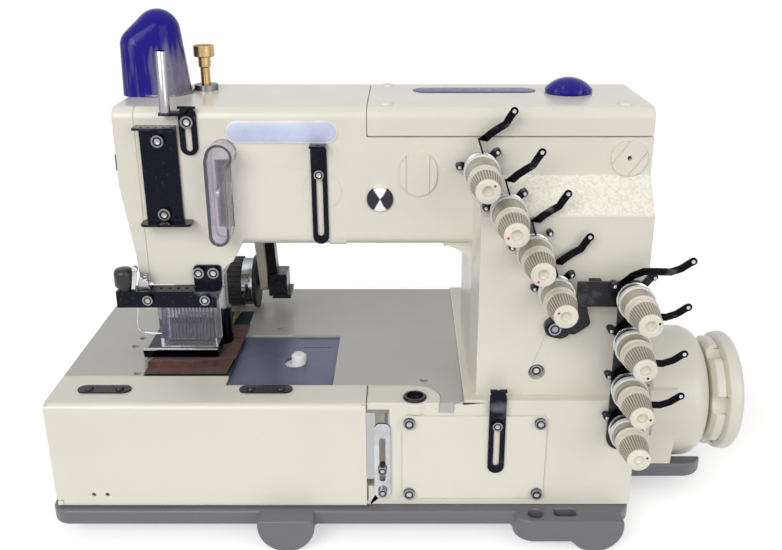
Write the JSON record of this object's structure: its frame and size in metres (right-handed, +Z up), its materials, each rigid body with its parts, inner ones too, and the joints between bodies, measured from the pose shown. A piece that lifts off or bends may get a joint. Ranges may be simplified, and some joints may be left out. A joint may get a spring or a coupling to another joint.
{
  "type": "flat-bed multi-needle waistband sewing machine",
  "caption": "Flat-bed multi-needle chainstitch sewing machine for waistbands, with thread tensions on its column, a rear puller roller and a handwheel.",
  "frame": {"origin": "on the floor plane under the middle of the whole machine, feet at z = 0", "axes": "+X along the bed from the needles to the handwheel, +Y from the operator towards the back, +Z up"},
  "size_m": [0.532, 0.289, 0.3755],
  "materials": {
    "cream_paint": "gloss enamel",
    "grey_paint": "satin enamel",
    "plate_paint": "satin enamel",
    "bright_steel": "satin",
    "chrome": "polished",
    "dark_steel": "black oxide",
    "slide_steel": "ground",
    "teal_steel": "ground",
    "bronze": "machined",
    "brass": "satin",
    "blue_clear": "clear",
    "clear_plastic": "clear",
    "sight_black": "gloss",
    "black_plastic": "satin",
    "rubber_black": "matte",
    "nylon_white": "satin",
    "knob_beige": "satin"
  },
  "bodies": {
    "machine": {"base_frame": "grey_paint", "bed_casting": "cream_paint", "arm_casting": "cream_paint", "top_cover": "cream_paint", "face_cover": "cream_paint", "bed_plate": "plate_paint", "needle_plate": "teal_steel", "main_bearings": "bronze", "pulley_housing": "cream_paint", "needle_bar_cover": "blue_clear", "presser_spring": "bright_steel", "guide_plate": "chrome", "short_slot_guide": "chrome", "long_slot_guide": "chrome", "takeup_guard": "clear_plastic", "access_plugs": "cream_paint", "oil_dome": "blue_clear", "oil_sight": "sight_black", "guard_bar": "chrome", "eye_guard": "clear_plastic", "tension_bracket": "dark_steel", "side_plate": "cream_paint", "bed_strap": "dark_steel", "latch_plate": "chrome", "screws": "chrome", "tension_posts": "bright_steel", "tension_discs": "nylon_white", "tension_guides": "dark_steel"},
    "drive": {"main_shaft": "bright_steel", "handwheel": "cream_paint"},
    "rod": {"connecting_rod": "bright_steel"},
    "rocker": {"rocker_shaft": "bright_steel", "takeup_lever": "bright_steel"},
    "needle_bar_body": {"needle_bar": "bright_steel", "needle_clamp": "bright_steel", "needles": "bright_steel"},
    "presser": {"presser_bar": "bright_steel", "presser_foot": "bright_steel"},
    "pressure_knob": {"pressure_screw": "brass"},
    "looper_body": {"loopers": "bright_steel"},
    "feed": {"feed_dog": "bright_steel"},
    "slide": {"slide_plate": "slide_steel", "slide_button": "nylon_white"},
    "cover": {"front_cover": "cream_paint", "catch_plates": "dark_steel"},
    "puller_lift": {"puller_arm": "cream_paint", "puller_drive": "dark_steel"},
    "release": {"release_lever": "dark_steel"},
    "puller": {"puller_roller": "rubber_black"},
    "lifter": {"lift_lever": "dark_steel"},
    "chain": {"lift_chain": "dark_steel"},
    "thumb_knob": {"guard_knob": "black_plastic"},
    "knob_1": {"tension_knob_1": "knob_beige"},
    "knob_2": {"tension_knob_2": "knob_beige"},
    "knob_3": {"tension_knob_3": "knob_beige"},
    "knob_4": {"tension_knob_4": "knob_beige"},
    "knob_5": {"tension_knob_5": "knob_beige"},
    "knob_6": {"tension_knob_6": "knob_beige"},
    "knob_7": {"tension_knob_7": "knob_beige"},
    "knob_8": {"tension_knob_8": "knob_beige"}
  },
  "joints": [
    {"name": "main_shaft_turn", "type": "hinge", "parent": "machine", "child": "drive", "pos_m": [0.101, 0.0155, 0.066], "axis": [1, 0, 0], "continuous": true},
    {"name": "connecting_rod_turn", "type": "hinge", "parent": "drive", "child": "rod", "pos_m": [0.101, 0.00725, 0.066], "axis": [1, 0, 0], "continuous": true},
    {"name": "rocker_swing", "type": "hinge", "parent": "machine", "child": "rocker", "pos_m": [0.101, -0.0345, 0.255], "axis": [1, 0, 0], "range_deg": [-22.02, 22.02]},
    {"name": "needle_bar_slide", "type": "slide", "parent": "machine", "child": "needle_bar_body", "axis": [0, 0, 1], "range_m": [-0.015, 0.015]},
    {"name": "presser_lift", "type": "slide", "parent": "machine", "child": "presser", "axis": [0, 0, 1], "range_m": [0, 0.008], "deforming": ["presser_spring"]},
    {"name": "pressure_screw_turn", "type": "hinge", "parent": "machine", "child": "pressure_knob", "pos_m": [-0.1489, 0.0095, 0.317], "axis": [0, 0, 1], "range_deg": [-720, 720]},
    {"name": "looper_rock", "type": "hinge", "parent": "machine", "child": "looper_body", "pos_m": [-0.175, -0.0225, 0.068], "axis": [1, 0, 0], "range_deg": [-8, 8]},
    {"name": "feed_slide", "type": "slide", "parent": "machine", "child": "feed", "axis": [0, 1, 0], "range_m": [-0.002, 0.002]},
    {"name": "slide_plate_slide", "type": "slide", "parent": "machine", "child": "slide", "axis": [1, 0, 0], "range_m": [0, 0.018]},
    {"name": "front_cover_hinge", "type": "hinge", "parent": "machine", "child": "cover", "pos_m": [-0.146, -0.092, 0.0288], "axis": [1, 0, 0], "range_deg": [0, 90]},
    {"name": "puller_arm_hinge", "type": "hinge", "parent": "machine", "child": "puller_lift", "pos_m": [-0.126, 0.0575, 0.254], "axis": [1, 0, 0], "range_deg": [0, 18]},
    {"name": "puller_roller_turn", "type": "hinge", "parent": "puller_lift", "child": "puller", "pos_m": [-0.151, 0.0875, 0.1355], "axis": [1, 0, 0], "continuous": true},
    {"name": "lifting_lever_turn", "type": "hinge", "parent": "machine", "child": "lifter", "pos_m": [0.164, 0.0235, 0.252], "axis": [1, 0, 0], "range_deg": [0, 25]},
    {"name": "chain_swing", "type": "hinge", "parent": "lifter", "child": "chain", "pos_m": [0.1676, 0.0075, 0.254], "axis": [1, 0, 0], "range_deg": [-25, 25]},
    {"name": "thumb_knob_turn", "type": "hinge", "parent": "machine", "child": "thumb_knob", "pos_m": [-0.2, -0.0689, 0.1925], "axis": [0, 0, 1], "range_deg": [-720, 720]},
    {"name": "release_lever_turn", "type": "hinge", "parent": "machine", "child": "release", "pos_m": [0.1008, -0.0825, 0.1684], "axis": [0, 1, 0], "range_deg": [0, 12]},
    {"name": "tension_knob_1_turn", "type": "hinge", "parent": "machine", "child": "knob_1", "pos_m": [0.048, -0.1235, 0.2765], "axis": [0, 1, 0], "range_deg": [-720, 720]},
    {"name": "tension_knob_2_turn", "type": "hinge", "parent": "machine", "child": "knob_2", "pos_m": [0.065, -0.1385, 0.2531], "axis": [0, 1, 0], "range_deg": [-720, 720]},
    {"name": "tension_knob_3_turn", "type": "hinge", "parent": "machine", "child": "knob_3", "pos_m": [0.0835, -0.1335, 0.2254], "axis": [0, 1, 0], "range_deg": [-720, 720]},
    {"name": "tension_knob_4_turn", "type": "hinge", "parent": "machine", "child": "knob_4", "pos_m": [0.1, -0.1305, 0.1956], "axis": [0, 1, 0], "range_deg": [-720, 720]},
    {"name": "tension_knob_5_turn", "type": "hinge", "parent": "machine", "child": "knob_5", "pos_m": [0.151, -0.1445, 0.1952], "axis": [0, 1, 0], "range_deg": [-720, 720]},
    {"name": "tension_knob_6_turn", "type": "hinge", "parent": "machine", "child": "knob_6", "pos_m": [0.1513, -0.1415, 0.1625], "axis": [0, 1, 0], "range_deg": [-720, 720]},
    {"name": "tension_knob_7_turn", "type": "hinge", "parent": "machine", "child": "knob_7", "pos_m": [0.1525, -0.1415, 0.1277], "axis": [0, 1, 0], "range_deg": [-720, 720]},
    {"name": "tension_knob_8_turn", "type": "hinge", "parent": "machine", "child": "knob_8", "pos_m": [0.1536, -0.1405, 0.0952], "axis": [0, 1, 0], "range_deg": [-720, 720]}
  ],
  "couplings": [
    {"joint": "connecting_rod_turn", "follows": "main_shaft_turn", "ratio": -1}
  ]
}
